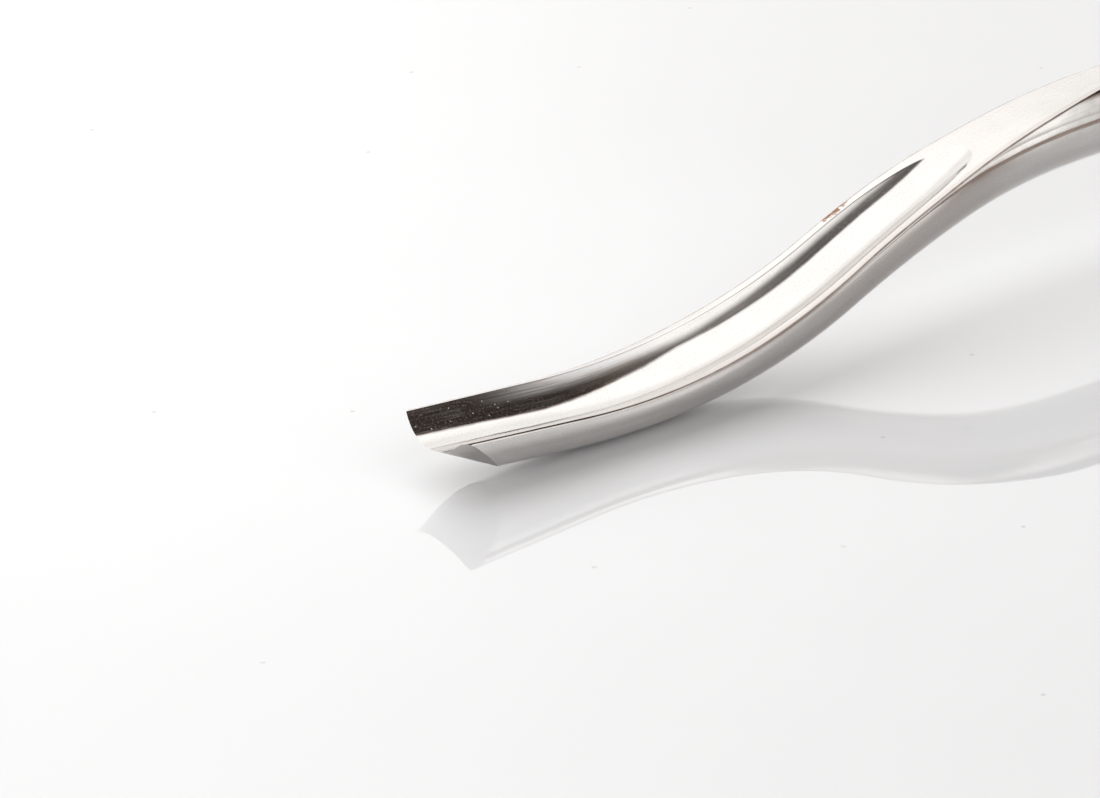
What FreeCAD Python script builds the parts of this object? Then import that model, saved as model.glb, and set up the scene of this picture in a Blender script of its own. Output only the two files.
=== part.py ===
import FreeCAD, Part
import math
import os
import re

import Sketcher
from FreeCAD import Placement, Rotation, Vector

# Gouge elevator for extracting teeth, lying on a table: +Z up, +X from the cutting
# tip to the butt of the handle, Y across.  Lengths are millimetres.
# Every piece is drawn in the tool frame: X = 0 where the tip's rim corners are,
# Y = 0 on the plane of symmetry.  Turned pieces have their axis along X at the
# height of the handle's axis.  Each Placement then moves the tool frame so that
# the middle of the overall length is at X = 0.

os.makedirs("parts", exist_ok=True)
doc = FreeCAD.newDocument("dental_elevator")
sheet = doc.addObject("Spreadsheet::Sheet", "Sizes")

# ---------------------------------------------------------------- dimensions

SIZES = [
    # side view of the blade's flat top: a straight, an upward bend, a downward bend
    ("top_tip_z", 2.62, "height of the rims at the tip"),
    ("tip_tan", 0.088, "fall of the straight part from the tip"),
    ("bend_a_x", 5.306, "start of the upward bend"),
    ("bend_a_r", 25.6, "radius of the upward bend"),
    ("bend_b_x", 18.64, "start of the downward bend"),
    ("bend_b_r", 41.4, "radius of the downward bend"),
    ("tip_cos", "=1/sqrt(1+tip_tan^2)", "cosine of the tip's fall"),
    ("bend_a_cx", "=bend_a_x+bend_a_r*tip_tan*tip_cos", "centre of the upward bend"),
    ("bend_a_cz", "=top_tip_z-tip_tan*bend_a_x+bend_a_r*tip_cos", "its height"),
    ("bend_b_sin", "=(bend_b_x-bend_a_cx)/bend_a_r", "steepest slope, as a sine"),
    ("bend_b_cos", "=sqrt(1-bend_b_sin^2)", "and as a cosine"),
    ("bend_b_cx", "=bend_b_x+bend_b_r*bend_b_sin", "centre of the downward bend"),
    ("bend_b_cz", "=bend_a_cz-(bend_a_r+bend_b_r)*bend_b_cos", "its height"),
    # ground tip
    ("nose_bulge", 0.55, "how far the edge stands ahead of the rim corners"),
    ("bevel_deg", 28, "angle of the ground cone to its axis"),
    ("bevel_tan", "=tan(bevel_deg*1deg)", "its tangent"),
    ("bevel_axis_z", 4.22, "height of the cone's axis"),
    ("nose_z", "=top_tip_z+tip_tan*nose_bulge-cut_a_depth", "height of the middle of the cutting edge"),
    ("bevel_tip_r", "=bevel_axis_z-nose_z+nose_bulge*bevel_tan", "radius of the cone at the rim corners"),
    ("grind_from_x", -3, "front of the grinding cut"),
    ("grind_to_x", 5, "back of the grinding cut"),
    ("grind_out_r", 8, "outer radius of the grinding cut"),
    ("rim_round", 0.12, "polished rounding along the outer edges of the rims"),
    # handle, common
    ("flats", 13.8, "width across the handle's flats"),
    ("axis_z", "=flats/2", "height of the handle's axis"),
    ("slack", 0.03, "radial clearance of located pieces"),
    # shank and tang
    ("neck_r", "=bend_b_cz+bend_b_r-axis_z", "radius of the shank's neck"),
    ("neck_half", 0.4, "half width of the flat where it runs out"),
    ("neck_rise", "=sqrt(neck_r^2-neck_half^2)", "height of the flat over the axis there"),
    ("neck_depth", "=neck_r+neck_rise", "depth of the section there"),
    ("shank_mid_x", 45, "station along the shank"),
    ("shank_mid_r", 2.05, "radius there"),
    ("shank_end_r", 2.6, "radius at the shoulder"),
    ("cone_front_x", 52, "front face of the front cone"),
    ("shoulder_in", 0.6, "how far the shank enters the cone"),
    ("shoulder_x", "=cone_front_x+shoulder_in", "shank's shoulder"),
    ("tang_r", 1.95, "radius of the tang"),
    ("thread_r", 1.45, "radius of the tang's threaded end"),
    ("thread_x", 85, "start of the threaded end"),
    ("tang_end_x", 92, "end of the tang"),
    ("tang_break", 0.4, "chamfer at the tang's end"),
    # front cone
    ("seal_wire", 0.8, "thickness of the front seal"),
    ("seat_r", 2.85, "radius of the seal's seat"),
    ("seat_x", "=shoulder_x+seal_wire", "floor of the seal's seat"),
    ("cone_tip_r", 3.5, "outer radius at the cone's front"),
    ("cone_break", 0.3, "chamfer of the cone's front"),
    ("cone_base_r", 5.1, "outer radius at the cone's back"),
    ("tube_front_x", 64, "front face of the handle tube"),
    ("spigot_r", 3.97, "radius of the cone's spigot"),
    ("spigot_end_x", 75, "end of the spigot"),
    ("ring_wire", 1.0, "thickness of the inner seals"),
    ("cone_seal_x", 67, "middle of the cone's seal groove"),
    ("pin_x", 71.5, "axis of the cross pin"),
    ("pin_r", 0.6, "radius of the cross pin"),
    ("pin_long", 7.6, "length of the cross pin"),
    ("pin_break", 0.15, "chamfer of the cross pin"),
    # handle tube
    ("bore_r", 4.0, "front bore"),
    ("web_x", 84, "front of the inner web"),
    ("web_thick", 3, "thickness of the inner web"),
    ("web_back_x", "=web_x+web_thick", "back of the inner web"),
    ("web_hole_r", 2.05, "hole in the web"),
    ("rear_bore_r", 4.9, "rear bore"),
    ("grip_front_x", 72, "end of the front taper"),
    ("grip_r", 6.4, "radius between the grip rings"),
    ("groove_first_x", 74.5, "middle of the first ring groove"),
    ("groove_pitch", 5.6, "spacing of the ring grooves"),
    ("groove_count", 5, "number of ring grooves"),
    ("groove_wide", 3.2, "width of a ring groove"),
    ("groove_floor_r", 5.6, "radius at a groove's floor"),
    ("palm_front_x", 101, "end of the grip"),
    ("palm_full_x", 105, "start of the full palm section"),
    ("palm_r", 7.22, "radius over the palm section's rounded corners"),
    ("palm_end_x", 140, "end of the full palm section"),
    ("tail_x", 143, "start of the round tail"),
    ("tail_r", 6.2, "radius of the tail"),
    ("mark_x", 145.5, "middle of the colour ring's groove"),
    ("mark_wide", 2, "width of that groove"),
    ("tube_end_x", 148, "rear face of the handle tube"),
    ("tube_break", 0.25, "edge breaks of the tube"),
    ("flat_cut", 2, "depth of the tool that cuts the flats"),
    ("flat_half", 4, "half width of that tool"),
    ("flat_count", 8, "number of flats"),
    # silicone rings
    ("ring_gap", 0.05, "gap between a ring's flanks and its groove"),
    ("ring_out_r", 6.85, "outer radius of a grip ring"),
    ("ring_round", 0.5, "corner radius of a grip ring"),
    ("mark_out_r", 6.5, "outer radius of the colour ring"),
    ("mark_round", 0.3, "its corner radius"),
    # washer and nut
    ("washer_r", 3.6, "outer radius of the washer"),
    ("washer_thick", 0.8, "thickness of the washer"),
    ("nut_flats", 5.5, "width across the nut's flats"),
    ("nut_thick", 2.4, "thickness of the nut"),
    ("nut_x", "=web_back_x+washer_thick", "front face of the nut"),
    # rear plug
    ("plug_in", 9, "length of the plug inside the tube"),
    ("plug_front_x", "=tube_end_x-plug_in", "front end of the plug"),
    ("plug_seal_in", 4.5, "distance of its seal from the tube's end"),
    ("plug_seal_x", "=tube_end_x-plug_seal_in", "middle of its seal groove"),
    ("plug_bore_r", 2.6, "bore that lightens the plug"),
    ("plug_bore_in", 6, "depth of that bore"),
    ("collar_long", 1.5, "length of the plug's collar"),
    ("collar_end_x", "=tube_end_x+collar_long", "end of the collar"),
    ("butt_r", 5.4, "radius of the butt"),
    ("butt_long", 3, "length of the butt's plain wall"),
    ("butt_wall_x", "=collar_end_x+butt_long", "end of the plain wall"),
    ("butt_dome", 1.0, "radius of the butt's rounded edge"),
    ("butt_end_x", "=butt_wall_x+butt_dome", "rear face"),
    # whole tool
    ("total_long", "=butt_end_x+nose_bulge", "overall length"),
    ("origin_x", "=nose_bulge-total_long/2", "tool frame in the object's frame"),
]

# Stations along the blade: x, half width of the flat top, depth of the round
# underside below it.  The last ones run the flat out on the round neck.
BLADE_STATIONS = [
    ("sec_a", -1.5, 2.10, 1.93),
    ("sec_b", 0.5, 2.14, 1.95),
    ("sec_c", 2.5, 2.18, 1.97),
    ("sec_d", 5.0, 2.22, 1.99),
    ("sec_e", 7.5, 2.27, 2.02),
    ("sec_f", 10.0, 2.30, 2.09),
    ("sec_g", 13.0, 2.26, 2.22),
    ("sec_h", 16.0, 2.13, 2.36),
    ("sec_i", 20.0, 1.98, 2.47),
    ("sec_j", 23.0, 1.85, 2.50),
    ("sec_k", 26.0, 1.56, 2.56),
    ("sec_l", 29.0, 1.30, 2.80),
    ("sec_m", 33.0, 0.80, 3.25),
]

# Stations along the scoop in the blade's top: x, half width, depth; a negative
# depth lifts the cutter clear of the top.
SCOOP_STATIONS = [
    ("cut_a", -1.5, 1.91, 0.78),
    ("cut_b", 0.5, 1.94, 0.78),
    ("cut_c", 2.5, 1.97, 0.80),
    ("cut_d", 5.0, 2.00, 0.84),
    ("cut_e", 7.5, 1.98, 0.87),
    ("cut_f", 10.0, 1.92, 0.89),
    ("cut_g", 13.0, 1.82, 0.90),
    ("cut_h", 16.0, 1.70, 0.88),
    ("cut_i", 19.0, 1.62, 0.84),
    ("cut_j", 21.5, 1.53, 0.74),
    ("cut_k", 23.3, 1.33, 0.54),
    ("cut_l", 24.6, 0.98, 0.27),
    ("cut_m", 25.3, 0.50, 0.07),
]
SCOOP_OUT = ("cut_n", 25.9, 1.7, 0.25)


def rim_height(x):
    """Cell formula for the height of the flat top at the cell x."""
    line = "top_tip_z-tip_tan*{0}".format(x)
    bend_a = "bend_a_cz-sqrt(abs(bend_a_r^2-({0}-bend_a_cx)^2))".format(x)
    bend_b = "bend_b_cz+sqrt(abs(bend_b_r^2-({0}-bend_b_cx)^2))".format(x)
    return "({0}<bend_a_x?{1}:({0}<bend_b_x?{2}:{3}))".format(x, line, bend_a, bend_b)


def section_cells(name):
    """Cells of a flat-topped section with rounded corners, from its half width and depth."""
    formulas = [
        ("_cz", "=({n}_half^2-{n}_depth^2)/(2*{n}_depth)", "centre of the underside, over the top"),
        ("_under", "={n}_depth+{n}_cz", "radius of the underside"),
        ("_flat", "=sqrt(({n}_under-rim_round)^2-({n}_cz+rim_round)^2)", "half width between the roundings"),
        ("_side", "={n}_flat*{n}_under/({n}_under-rim_round)", "half width where a rounding ends"),
        ("_drop", "=(rim_round+{n}_cz)*{n}_under/({n}_under-rim_round)-{n}_cz", "depth where it ends"),
    ]
    return [(name + ending, formula.format(n=name), meaning) for ending, formula, meaning in formulas]


def station_cells():
    """Cells of the blade's and the scoop's sections, one group per station."""
    cells = section_cells("neck")
    for name, x, half, depth in BLADE_STATIONS:
        cells += [
            (name + "_x", x, "station"),
            (name + "_half", half, "half width"),
            (name + "_depth", depth, "depth"),
            (name + "_z", "=" + rim_height(name + "_x"), "height of the flat top"),
        ]
        cells += section_cells(name)
    for name, x, half, depth in SCOOP_STATIONS:
        sizes = {"n": name}
        cells += [
            (name + "_x", x, "station"),
            (name + "_half", half, "half width"),
            (name + "_depth", depth, "depth"),
            (name + "_r", "=({n}_half^2+{n}_depth^2)/(2*{n}_depth)".format(**sizes), "radius"),
            (name + "_z", "=" + rim_height(name + "_x") + "+{n}_r-{n}_depth".format(**sizes), "centre"),
        ]
    name, x, radius, lift = SCOOP_OUT
    cells += [
        (name + "_x", x, "station"),
        (name + "_r", radius, "radius"),
        (name + "_lift", lift, "clearance over the top"),
        (name + "_z", "=" + rim_height(name + "_x") + "+" + name + "_r+" + name + "_lift", "centre"),
    ]
    return cells


def fill_sheet():
    for row, (alias, value, meaning) in enumerate(SIZES + station_cells(), start=1):
        cell = "B{0}".format(row)
        sheet.set("A{0}".format(row), meaning)
        sheet.set(cell, value if isinstance(value, str) else "{0:g}".format(value))
        sheet.setAlias(cell, alias)
    doc.recompute()


fill_sheet()


def value(alias):
    """Present number of a cell, used to start a sketch near its solution."""
    return float(sheet.get(alias))


def cell(text):
    """Expression text whose names, other than functions, are cells of the sheet."""
    return re.sub(r"\b([a-z]\w*)\b(?!\()", r"Sizes.\1", text)


def number(text):
    """Number that the expression text stands for."""
    return float(sheet.evalExpression(cell(text)))


# ------------------------------------------------------------------- helpers

ALL_AROUND = 360
# lengths below this count as nothing
CLOSE = 1e-3
# expression for a point on a sketch's axis
ON_AXIS = "0"
# the sketcher's numbers for the points of a curve and for a sketch's own axes
START = 1
END = 2
CENTRE = 3
X_AXIS = -1
Y_AXIS = -2
NUT_SIDES = 6


def new_body(name, height=None):
    """A body in the tool frame, raised to the cell height when one is given."""
    body = doc.addObject("PartDesign::Body", name)
    body.Label = name
    body.Placement = Placement(Vector(0, 0, 0), Rotation())
    body.setExpression("Placement.Base.x", "Sizes.origin_x")
    if height:
        body.setExpression("Placement.Base.z", "Sizes." + height)
    return body


def origin_feature(body, role):
    for feature in body.Origin.OriginFeatures:
        if feature.Role == role:
            return feature
    raise ValueError(role)


def new_sketch(body, name, plane):
    sketch = body.newObject("Sketcher::SketchObject", name)
    sketch.AttachmentSupport = [(origin_feature(body, plane), "")]
    sketch.MapMode = "FlatFace"
    return sketch


def drive(sketch, constraint, expression):
    """Adds a dimension and binds it to the sheet."""
    index = sketch.addConstraint(constraint)
    sketch.setExpression("Constraints[{0}]".format(index), cell(expression))


def pin_point(sketch, geometry, point, x, y):
    """Dimensions one point of a sketch from the origin; x and y are expressions."""
    for axis, text in (("DistanceX", x), ("DistanceY", y)):
        target = number(text)
        if abs(target) < CLOSE:
            line = Y_AXIS if axis == "DistanceX" else X_AXIS
            sketch.addConstraint(Sketcher.Constraint("PointOnObject", geometry, point, line))
        else:
            drive(sketch, Sketcher.Constraint(axis, X_AXIS, START, geometry, point, target), text)


def outline(sketch, points):
    """Closed outline of straight lines through points given as expression pairs."""
    spots = [Vector(number(x), number(y), 0) for x, y in points]
    count = len(spots)
    lines = [sketch.addGeometry(Part.LineSegment(spots[i], spots[(i + 1) % count])) for i in range(count)]
    for i in range(count):
        sketch.addConstraint(Sketcher.Constraint("Coincident", lines[i], END, lines[(i + 1) % count], START))
    for i in range(count):
        pin_point(sketch, lines[i], START, *points[i])
    return lines


def turned(body, name, points):
    """Solid of revolution about the tool's axis from (x, radius) points."""
    sketch = new_sketch(body, name + "_outline", "XZ_Plane")
    outline(sketch, points)
    turn = body.newObject("PartDesign::Revolution", name + "_turn")
    turn.Profile = sketch
    turn.ReferenceAxis = (sketch, ["H_Axis"])
    turn.Angle = ALL_AROUND
    body.Tip = turn
    doc.recompute()
    return turn


def turned_groove(body, name, middle, width, floor, reach):
    """Ring groove about the tool's axis: middle, width, floor and outer radius."""
    left = "{0}-{1}/2".format(middle, width)
    right = "{0}+{1}/2".format(middle, width)
    sketch = new_sketch(body, name + "_outline", "XZ_Plane")
    outline(sketch, [(left, floor), (right, floor), (right, reach), (left, reach)])
    groove = body.newObject("PartDesign::Groove", name)
    groove.Profile = sketch
    groove.ReferenceAxis = (sketch, ["H_Axis"])
    groove.Angle = ALL_AROUND
    body.Tip = groove
    doc.recompute()
    return groove


def drilled_across(body, name, radius):
    """Hole along Y through the tool's axis at the cross pin's place."""
    sketch = new_sketch(body, name + "_circle", "XZ_Plane")
    ring = sketch.addGeometry(Part.Circle(Vector(value("pin_x"), 0, 0), Vector(0, 0, 1), number(radius)))
    sketch.addConstraint(Sketcher.Constraint("PointOnObject", ring, CENTRE, X_AXIS))
    drive(sketch, Sketcher.Constraint("DistanceX", X_AXIS, START, ring, CENTRE, value("pin_x")), "pin_x")
    drive(sketch, Sketcher.Constraint("Radius", ring, number(radius)), radius)
    hole = body.newObject("PartDesign::Pocket", name)
    hole.Profile = sketch
    hole.Type = "ThroughAll"
    hole.Midplane = True
    body.Tip = hole
    doc.recompute()
    return hole


def outer_edges(shape, test):
    """Names of the edges of a shape that pass the test."""
    return ["Edge{0}".format(i) for i, edge in enumerate(shape.Edges, start=1) if test(edge)]


def dressed(body, name, kind, size_name, size, edges):
    """Fillet or chamfer on named edges of the body's present shape."""
    base = body.Tip
    feature = body.newObject(kind, name)
    feature.Base = (base, edges)
    feature.setExpression(size_name, cell(size))
    body.Tip = feature
    doc.recompute()
    return feature


# --------------------------------------------------------------------- blade

def station_sketch(body, name):
    """Empty sketch square to X at a station, its origin at the station's height."""
    sketch = new_sketch(body, name, "YZ_Plane")
    sketch.AttachmentOffset = Placement(Vector(0, value(name + "_z"), value(name + "_x")), Rotation())
    sketch.setExpression("AttachmentOffset.Base.y", "Sizes." + name + "_z")
    sketch.setExpression("AttachmentOffset.Base.z", "Sizes." + name + "_x")
    return sketch


def rounded_corner(sketch, name, way):
    """Corner arc at the +Y (way 1) or -Y (way -1) end of a section's flat top."""
    flat = number(name + "_flat")
    end = Vector(number(name + "_side"), -number(name + "_drop"), 0)
    centre = Vector(flat, -value("rim_round"), 0)
    halfway = ((end - centre) + Vector(0, value("rim_round"), 0)).normalize()
    middle = centre + halfway * value("rim_round")
    spots = [Vector(way * p.x, p.y, 0) for p in (Vector(flat, 0, 0), middle, end)]
    arc = sketch.addGeometry(Part.Arc(*spots))
    top_end, low_end = (END, START) if way > 0 else (START, END)
    sign = "" if way > 0 else "0-"
    pin_point(sketch, arc, low_end, sign + name + "_side", "0-" + name + "_drop")
    drive(sketch, Sketcher.Constraint("DistanceY", X_AXIS, START, arc, CENTRE, centre.y), "0-rim_round")
    return arc, top_end, low_end


def flat_topped_section(sketch, name):
    """Round underside, rounded corners and a flat top on the sketch's X axis."""
    flat = number(name + "_flat")
    side = number(name + "_side")
    drop = number(name + "_drop")
    top = sketch.addGeometry(Part.LineSegment(Vector(flat, 0, 0), Vector(-flat, 0, 0)))
    sketch.addConstraint(Sketcher.Constraint("Horizontal", top))
    pin_point(sketch, top, START, name + "_flat", ON_AXIS)
    drive(sketch, Sketcher.Constraint("DistanceX", top, END, X_AXIS, START, flat), name + "_flat")
    right, right_top, right_low = rounded_corner(sketch, name, 1)
    left, left_top, left_low = rounded_corner(sketch, name, -1)
    sketch.addConstraint(Sketcher.Constraint("Coincident", right, right_top, top, START))
    sketch.addConstraint(Sketcher.Constraint("Coincident", left, left_top, top, END))
    belly = Vector(0, -number(name + "_depth"), 0)
    under = sketch.addGeometry(Part.Arc(Vector(-side, -drop, 0), belly, Vector(side, -drop, 0)))
    sketch.addConstraint(Sketcher.Constraint("Coincident", under, START, left, left_low))
    sketch.addConstraint(Sketcher.Constraint("Coincident", under, END, right, right_low))
    lift = Sketcher.Constraint("DistanceY", X_AXIS, START, under, CENTRE, number(name + "_cz"))
    drive(sketch, lift, name + "_cz")


def neck_section(body):
    """Last section of the blade: the round neck, its flat almost gone."""
    sketch = new_sketch(body, "sec_neck", "YZ_Plane")
    height = "axis_z+neck_rise"
    sketch.AttachmentOffset = Placement(Vector(0, number(height), value("bend_b_cx")), Rotation())
    sketch.setExpression("AttachmentOffset.Base.y", cell(height))
    sketch.setExpression("AttachmentOffset.Base.z", "Sizes.bend_b_cx")
    flat_topped_section(sketch, "neck")
    return sketch


def blade_loft(body):
    sections = []
    for name, *_ in BLADE_STATIONS:
        sketch = station_sketch(body, name)
        flat_topped_section(sketch, name)
        sections.append(sketch)
    sections.append(neck_section(body))
    doc.recompute()
    loft = body.newObject("PartDesign::AdditiveLoft", "bent_bar")
    loft.Profile = sections[0]
    loft.Sections = sections[1:]
    body.Tip = loft
    doc.recompute()


def scoop_cut(body):
    sections = []
    for name in [row[0] for row in SCOOP_STATIONS] + [SCOOP_OUT[0]]:
        sketch = station_sketch(body, name)
        ring = sketch.addGeometry(Part.Circle(Vector(0, 0, 0), Vector(0, 0, 1), value(name + "_r")))
        sketch.addConstraint(Sketcher.Constraint("Coincident", ring, CENTRE, X_AXIS, START))
        drive(sketch, Sketcher.Constraint("Radius", ring, value(name + "_r")), name + "_r")
        sections.append(sketch)
    doc.recompute()
    loft = body.newObject("PartDesign::SubtractiveLoft", "scoop")
    loft.Profile = sections[0]
    loft.Sections = sections[1:]
    body.Tip = loft
    doc.recompute()


def tip_grind(body):
    """Ground bevel: everything outside a cone along the blade is cut away."""
    sketch = new_sketch(body, "tip_grind_outline", "XZ_Plane")
    outline(sketch, [
        ("grind_from_x", "bevel_axis_z-bevel_tip_r-bevel_tan*grind_from_x"),
        ("grind_to_x", "bevel_axis_z-bevel_tip_r-bevel_tan*grind_to_x"),
        ("grind_to_x", "bevel_axis_z-grind_out_r"),
        ("grind_from_x", "bevel_axis_z-grind_out_r"),
    ])
    back = Vector(0, value("bevel_axis_z"), 0)
    front = Vector(value("grind_from_x"), value("bevel_axis_z"), 0)
    axis = sketch.addGeometry(Part.LineSegment(front, back), True)
    sketch.addConstraint(Sketcher.Constraint("Horizontal", axis))
    sketch.addConstraint(Sketcher.Constraint("PointOnObject", axis, END, Y_AXIS))
    pin_point(sketch, axis, START, "grind_from_x", "bevel_axis_z")
    groove = body.newObject("PartDesign::Groove", "tip_grind")
    groove.Profile = sketch
    groove.ReferenceAxis = (sketch, ["Axis0"])
    groove.Angle = ALL_AROUND
    body.Tip = groove
    doc.recompute()


def shank_and_tang(body):
    """Round shank, shoulder, plain tang and reduced threaded end."""
    sketch = new_sketch(body, "shank_outline", "XZ_Plane")
    outline(sketch, [
        ("bend_b_cx", "axis_z"),
        ("bend_b_cx", "axis_z+neck_r"),
        ("shank_mid_x", "axis_z+shank_mid_r"),
        ("shoulder_x", "axis_z+shank_end_r"),
        ("shoulder_x", "axis_z+tang_r"),
        ("thread_x", "axis_z+tang_r"),
        ("thread_x", "axis_z+thread_r"),
        ("tang_end_x-tang_break", "axis_z+thread_r"),
        ("tang_end_x", "axis_z+thread_r-tang_break"),
        ("tang_end_x", "axis_z"),
    ])
    low = Vector(value("shoulder_x"), value("axis_z"), 0)
    high = Vector(value("tang_end_x"), value("axis_z"), 0)
    axis = sketch.addGeometry(Part.LineSegment(low, high), True)
    sketch.addConstraint(Sketcher.Constraint("Horizontal", axis))
    pin_point(sketch, axis, START, "shoulder_x", "axis_z")
    drive(sketch, Sketcher.Constraint("DistanceX", X_AXIS, START, axis, END, high.x), "tang_end_x")
    turn = body.newObject("PartDesign::Revolution", "shank_and_tang")
    turn.Profile = sketch
    turn.ReferenceAxis = (sketch, ["Axis0"])
    turn.Angle = ALL_AROUND
    body.Tip = turn
    doc.recompute()


def tang_hole(body):
    """Cross hole in the tang for the pin."""
    sketch = new_sketch(body, "tang_hole_circle", "XZ_Plane")
    middle = Vector(value("pin_x"), value("axis_z"), 0)
    ring = sketch.addGeometry(Part.Circle(middle, Vector(0, 0, 1), number("pin_r+slack")))
    pin_point(sketch, ring, CENTRE, "pin_x", "axis_z")
    drive(sketch, Sketcher.Constraint("Radius", ring, number("pin_r+slack")), "pin_r+slack")
    hole = body.newObject("PartDesign::Pocket", "tang_hole")
    hole.Profile = sketch
    hole.Type = "ThroughAll"
    hole.Midplane = True
    body.Tip = hole
    doc.recompute()


def make_blade():
    """Forged blade, shank and tang in one piece."""
    body = new_body("blade")
    blade_loft(body)
    scoop_cut(body)
    tip_grind(body)
    shank_and_tang(body)
    tang_hole(body)
    return body


# -------------------------------------------------------------- turned pieces

def o_ring(name, x, core, wire):
    """Rubber ring with its axis along X; core is its inner radius."""
    ring = doc.addObject("Part::Torus", name)
    ring.Label = name
    ring.Placement = Placement(Vector(0, 0, 0), Rotation(Vector(0, 1, 0), 90))
    ring.setExpression("Radius1", cell("{0}+{1}/2".format(core, wire)))
    ring.setExpression("Radius2", cell(wire + "/2"))
    ring.setExpression("Placement.Base.x", cell("origin_x+" + x))
    ring.setExpression("Placement.Base.z", "Sizes.axis_z")
    return ring


def make_front_cone():
    """Tapered ferrule with a spigot that enters the handle tube."""
    body = new_body("front_cone", "axis_z")
    turned(body, "cone", [
        ("cone_front_x", "seat_r"),
        ("cone_front_x", "cone_tip_r-cone_break"),
        ("cone_front_x+cone_break", "cone_tip_r"),
        ("tube_front_x-cone_break", "cone_base_r"),
        ("tube_front_x", "cone_base_r-cone_break"),
        ("tube_front_x", "spigot_r"),
        ("spigot_end_x", "spigot_r"),
        ("spigot_end_x", "tang_r+slack"),
        ("seat_x", "tang_r+slack"),
        ("seat_x", "seat_r"),
    ])
    turned_groove(body, "cone_seal_groove", "cone_seal_x", "ring_wire", "bore_r-ring_wire", "bore_r")
    drilled_across(body, "cone_pin_hole", "pin_r+slack")
    return body


def make_tang_pin():
    """Cross pin that stops the tang turning in the cone."""
    body = new_body("tang_pin", "axis_z")
    sketch = new_sketch(body, "pin_circle", "XZ_Plane")
    ring = sketch.addGeometry(Part.Circle(Vector(value("pin_x"), 0, 0), Vector(0, 0, 1), value("pin_r")))
    sketch.addConstraint(Sketcher.Constraint("PointOnObject", ring, CENTRE, X_AXIS))
    drive(sketch, Sketcher.Constraint("DistanceX", X_AXIS, START, ring, CENTRE, value("pin_x")), "pin_x")
    drive(sketch, Sketcher.Constraint("Radius", ring, value("pin_r")), "pin_r")
    pad = body.newObject("PartDesign::Pad", "pin_length")
    pad.Profile = sketch
    pad.Midplane = True
    pad.setExpression("Length", "Sizes.pin_long")
    body.Tip = pad
    doc.recompute()
    ends = outer_edges(pad.Shape, lambda edge: edge.BoundBox.YLength < CLOSE)
    dressed(body, "pin_ends", "PartDesign::Chamfer", "Size", "pin_break", ends)
    return body


def make_handle_tube():
    """Hollow handle: taper, grooved grip, faceted palm section and round tail."""
    body = new_body("handle_tube", "axis_z")
    turned(body, "tube", [
        ("tube_front_x", "bore_r"),
        ("tube_front_x", "cone_base_r-cone_break"),
        ("tube_front_x+cone_break", "cone_base_r"),
        ("grip_front_x", "grip_r"),
        ("palm_front_x", "grip_r"),
        ("palm_full_x", "palm_r"),
        ("palm_end_x", "palm_r"),
        ("tail_x", "tail_r"),
        ("tube_end_x-tube_break", "tail_r"),
        ("tube_end_x", "tail_r-tube_break"),
        ("tube_end_x", "rear_bore_r"),
        ("web_back_x", "rear_bore_r"),
        ("web_back_x", "web_hole_r"),
        ("web_x", "web_hole_r"),
        ("web_x", "bore_r"),
    ])
    first = turned_groove(body, "grip_groove", "groove_first_x", "groove_wide", "groove_floor_r", "palm_r")
    repeat_along(body, first)
    turned_groove(body, "mark_groove", "mark_x", "mark_wide", "groove_floor_r", "palm_r")
    cut_flats(body)
    return body


def repeat_along(body, feature):
    """Repeats the first ring groove along the grip."""
    pattern = body.newObject("PartDesign::LinearPattern", "grip_grooves")
    pattern.Originals = [feature]
    pattern.Direction = (origin_feature(body, "X_Axis"), [""])
    pattern.Occurrences = int(value("groove_count"))
    pattern.setExpression("Occurrences", "Sizes.groove_count")
    pattern.setExpression("Length", cell("groove_pitch*groove_count-groove_pitch"))
    body.Tip = pattern
    doc.recompute()


def cut_flats(body):
    """Flats around the palm section."""
    sketch = new_sketch(body, "flat_outline", "YZ_Plane")
    outline(sketch, [
        ("0-flat_half", "flats/2"),
        ("flat_half", "flats/2"),
        ("flat_half", "flats/2+flat_cut"),
        ("0-flat_half", "flats/2+flat_cut"),
    ])
    pocket = body.newObject("PartDesign::Pocket", "flat")
    pocket.Profile = sketch
    pocket.Type = "ThroughAll"
    pocket.Midplane = True
    body.Tip = pocket
    doc.recompute()
    pattern = body.newObject("PartDesign::PolarPattern", "flats")
    pattern.Originals = [pocket]
    pattern.Axis = (origin_feature(body, "X_Axis"), [""])
    pattern.Angle = ALL_AROUND
    pattern.Occurrences = int(value("flat_count"))
    pattern.setExpression("Occurrences", "Sizes.flat_count")
    body.Tip = pattern
    doc.recompute()


def make_band(name, middle, width, outer, corner):
    """Silicone band in a groove, its outer corners rounded."""
    body = new_body(name, "axis_z")
    left = "{0}-{1}/2+ring_gap".format(middle, width)
    right = "{0}+{1}/2-ring_gap".format(middle, width)
    turned(body, name, [
        (left, "groove_floor_r"),
        (left, outer),
        (right, outer),
        (right, "groove_floor_r"),
    ])
    radius = number(outer)
    crest = outer_edges(body.Tip.Shape, lambda edge: abs(edge.BoundBox.ZMax - radius) < CLOSE
                        and edge.BoundBox.XLength < CLOSE)
    dressed(body, name + "_round", "PartDesign::Fillet", "Radius", corner, crest)
    return body


def make_tang_washer():
    body = new_body("tang_washer", "axis_z")
    turned(body, "washer", [
        ("web_back_x", "thread_r+slack"),
        ("web_back_x", "washer_r"),
        ("web_back_x+washer_thick", "washer_r"),
        ("web_back_x+washer_thick", "thread_r+slack"),
    ])
    return body


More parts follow.
